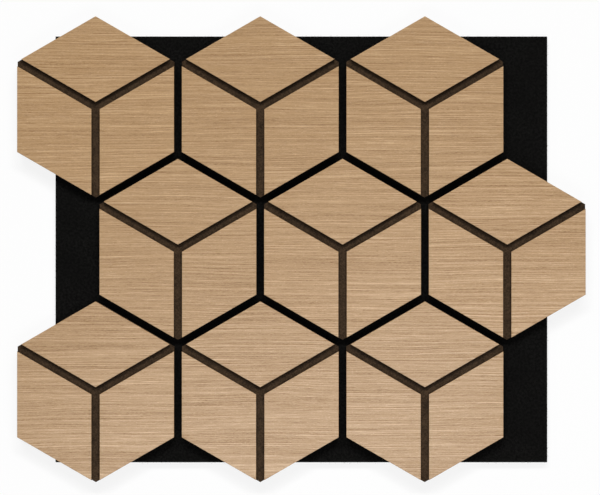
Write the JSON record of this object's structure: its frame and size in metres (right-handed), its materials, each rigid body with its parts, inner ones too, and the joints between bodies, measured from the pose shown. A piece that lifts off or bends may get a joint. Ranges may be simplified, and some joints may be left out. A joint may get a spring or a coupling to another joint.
{
  "type": "acoustic wall panel",
  "caption": "Felt-backed acoustic wall panel of grooved hexagonal oak tiles in a honeycomb; tiles reach past the felt so that panels mesh.",
  "frame": {"origin": "middle of the felt's back face, on the surface that the panel lies on", "axes": "+X along the rows of tiles, to the right as the panel hangs; +Y towards its top edge; +Z out of the oak faces"},
  "size_m": [0.6906, 0.5664, 0.021],
  "materials": {
    "felt": "black needled polyester felt",
    "fibreboard": "dark brown fibreboard, raw as cut",
    "oak_veneer": "straight-grained oak, matt lacquer"
  },
  "bodies": {
    "root": {"felt_backing": "felt", "tile_core_r1c1": "fibreboard", "tile_core_r1c2": "fibreboard", "tile_core_r1c3": "fibreboard", "tile_core_r2c1": "fibreboard", "tile_core_r2c2": "fibreboard", "tile_core_r2c3": "fibreboard", "tile_core_r3c1": "fibreboard", "tile_core_r3c2": "fibreboard", "tile_core_r3c3": "fibreboard", "oak_leaf_r1c1_top": "oak_veneer", "oak_leaf_r1c1_left": "oak_veneer", "oak_leaf_r1c1_right": "oak_veneer", "oak_leaf_r1c2_top": "oak_veneer", "oak_leaf_r1c2_left": "oak_veneer", "oak_leaf_r1c2_right": "oak_veneer", "oak_leaf_r1c3_top": "oak_veneer", "oak_leaf_r1c3_left": "oak_veneer", "oak_leaf_r1c3_right": "oak_veneer", "oak_leaf_r2c1_top": "oak_veneer", "oak_leaf_r2c1_left": "oak_veneer", "oak_leaf_r2c1_right": "oak_veneer", "oak_leaf_r2c2_top": "oak_veneer", "oak_leaf_r2c2_left": "oak_veneer", "oak_leaf_r2c2_right": "oak_veneer", "oak_leaf_r2c3_top": "oak_veneer", "oak_leaf_r2c3_left": "oak_veneer", "oak_leaf_r2c3_right": "oak_veneer", "oak_leaf_r3c1_top": "oak_veneer", "oak_leaf_r3c1_left": "oak_veneer", "oak_leaf_r3c1_right": "oak_veneer", "oak_leaf_r3c2_top": "oak_veneer", "oak_leaf_r3c2_left": "oak_veneer", "oak_leaf_r3c2_right": "oak_veneer", "oak_leaf_r3c3_top": "oak_veneer", "oak_leaf_r3c3_left": "oak_veneer", "oak_leaf_r3c3_right": "oak_veneer"}
  },
  "joints": []
}
